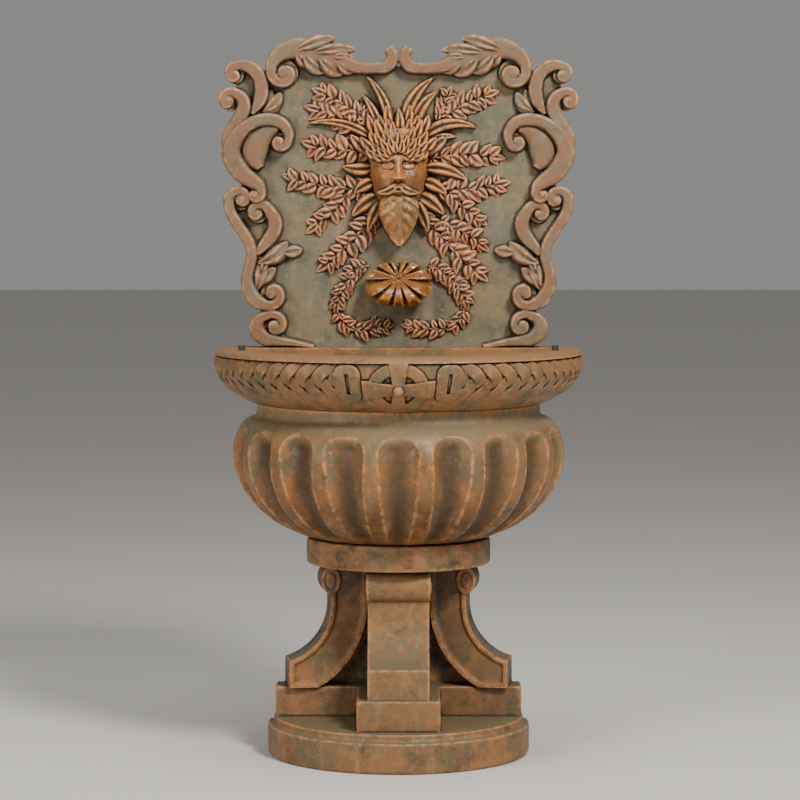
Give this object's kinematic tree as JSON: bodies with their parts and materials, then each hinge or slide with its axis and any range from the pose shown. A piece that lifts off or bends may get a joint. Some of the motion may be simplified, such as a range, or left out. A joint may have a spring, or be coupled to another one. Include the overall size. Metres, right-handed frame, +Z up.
{
  "type": "wall fountain",
  "caption": "Half-round wall fountain: a scroll-framed foliate mask panel with a spill shell stands on a plaited rim basin, a fluted bowl and a console pedestal.",
  "frame": {"origin": "middle of the bounding box's footprint, on the ground", "axes": "+Z up, +Y towards the wall behind the flat back, the front faces -Y"},
  "size_m": [0.808, 0.4376, 1.5741],
  "materials": {
    "pedestal_stone": "brown copper patina over cast stone, matt",
    "bowl_stone": "grey-brown patina with copper on the arrises, matt",
    "basin_stone": "copper brown patina with dark recesses, matt",
    "panel_stone": "olive grey ground with copper highlights on the carving, matt",
    "wet_shell_stone": "wet and dark orange brown, glossy",
    "plug_rubber": "matt black"
  },
  "bodies": {
    "root": {"pedestal": "pedestal_stone", "fluted_bowl": "bowl_stone", "rim_basin": "basin_stone", "back_panel": "panel_stone", "spill_shell": "wet_shell_stone", "rim_plug_left": "plug_rubber", "rim_plug_right": "plug_rubber"}
  },
  "joints": []
}
